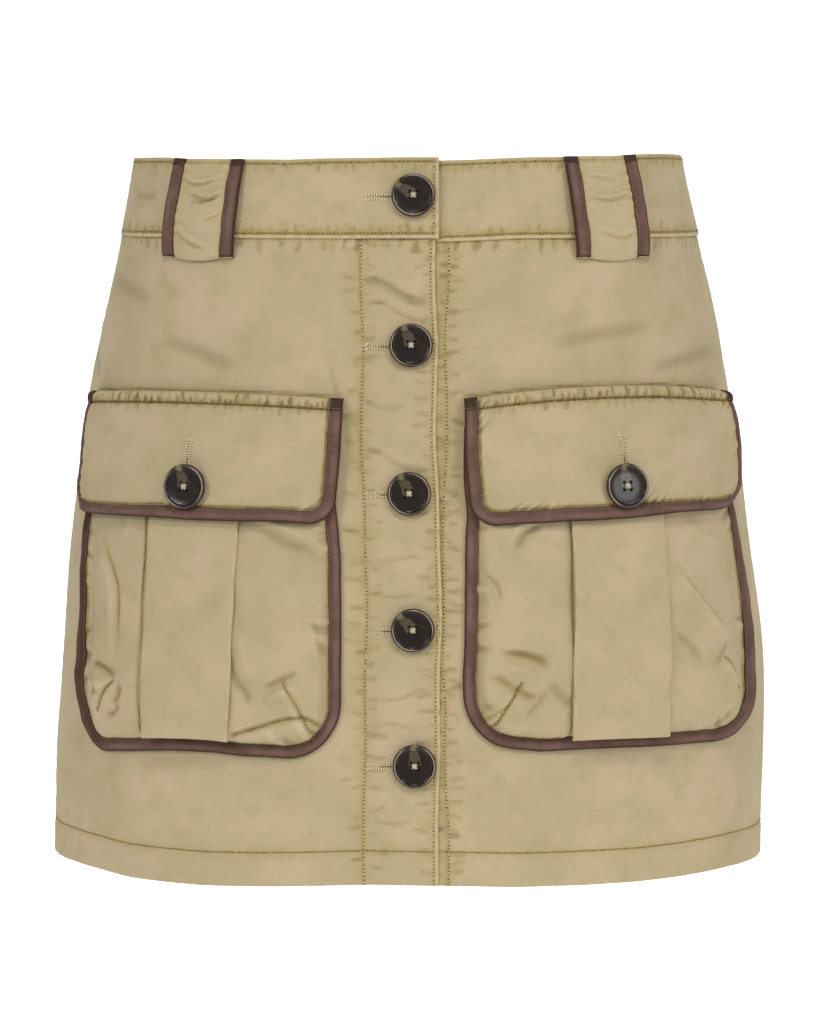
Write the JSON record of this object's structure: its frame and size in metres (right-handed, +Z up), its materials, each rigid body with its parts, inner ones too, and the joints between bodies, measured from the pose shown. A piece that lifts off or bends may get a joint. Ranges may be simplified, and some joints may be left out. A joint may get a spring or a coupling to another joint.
{
  "type": "cargo utility skirt",
  "caption": "Short cotton twill utility skirt with a buttoned front closure, bound cargo pockets with box pleats and buttoned flaps, and wide belt loops, shown hollow as worn.",
  "frame": {"origin": "middle of the waistband's height, on the vertical axis of the waist", "axes": "+Z up, towards the waist; -Y is the front with the button closure; +X is the wearer's left"},
  "size_m": [0.3876, 0.2684, 0.3802],
  "materials": {
    "cotton_twill": "matt garment-dyed cotton twill",
    "binding_tape": "soft mauve-brown cotton bias tape",
    "horn_button": "polished dark horn effect"
  },
  "bodies": {
    "root": {"front_right": "cotton_twill", "front_left": "cotton_twill", "back": "cotton_twill", "waistband_front_right": "cotton_twill", "waistband_front_left": "cotton_twill", "waistband_back": "cotton_twill", "pocket_bag_right": "cotton_twill", "pocket_pleat_right": "cotton_twill", "pocket_binding_right": "binding_tape", "flap_right": "cotton_twill", "flap_binding_right": "binding_tape", "pocket_bag_left": "cotton_twill", "pocket_pleat_left": "cotton_twill", "pocket_binding_left": "binding_tape", "flap_left": "cotton_twill", "flap_binding_left": "binding_tape", "belt_loop_front_right": "cotton_twill", "belt_loop_front_right_tape_a": "binding_tape", "belt_loop_front_right_tape_b": "binding_tape", "belt_loop_front_left": "cotton_twill", "belt_loop_front_left_tape_a": "binding_tape", "belt_loop_front_left_tape_b": "binding_tape", "belt_loop_back_right": "cotton_twill", "belt_loop_back_right_tape_a": "binding_tape", "belt_loop_back_right_tape_b": "binding_tape", "belt_loop_back_left": "cotton_twill", "belt_loop_back_left_tape_a": "binding_tape", "belt_loop_back_left_tape_b": "binding_tape", "button_1": "horn_button", "button_2": "horn_button", "button_3": "horn_button", "button_4": "horn_button", "button_5": "horn_button", "flap_button_right": "horn_button", "flap_button_left": "horn_button"}
  },
  "joints": []
}
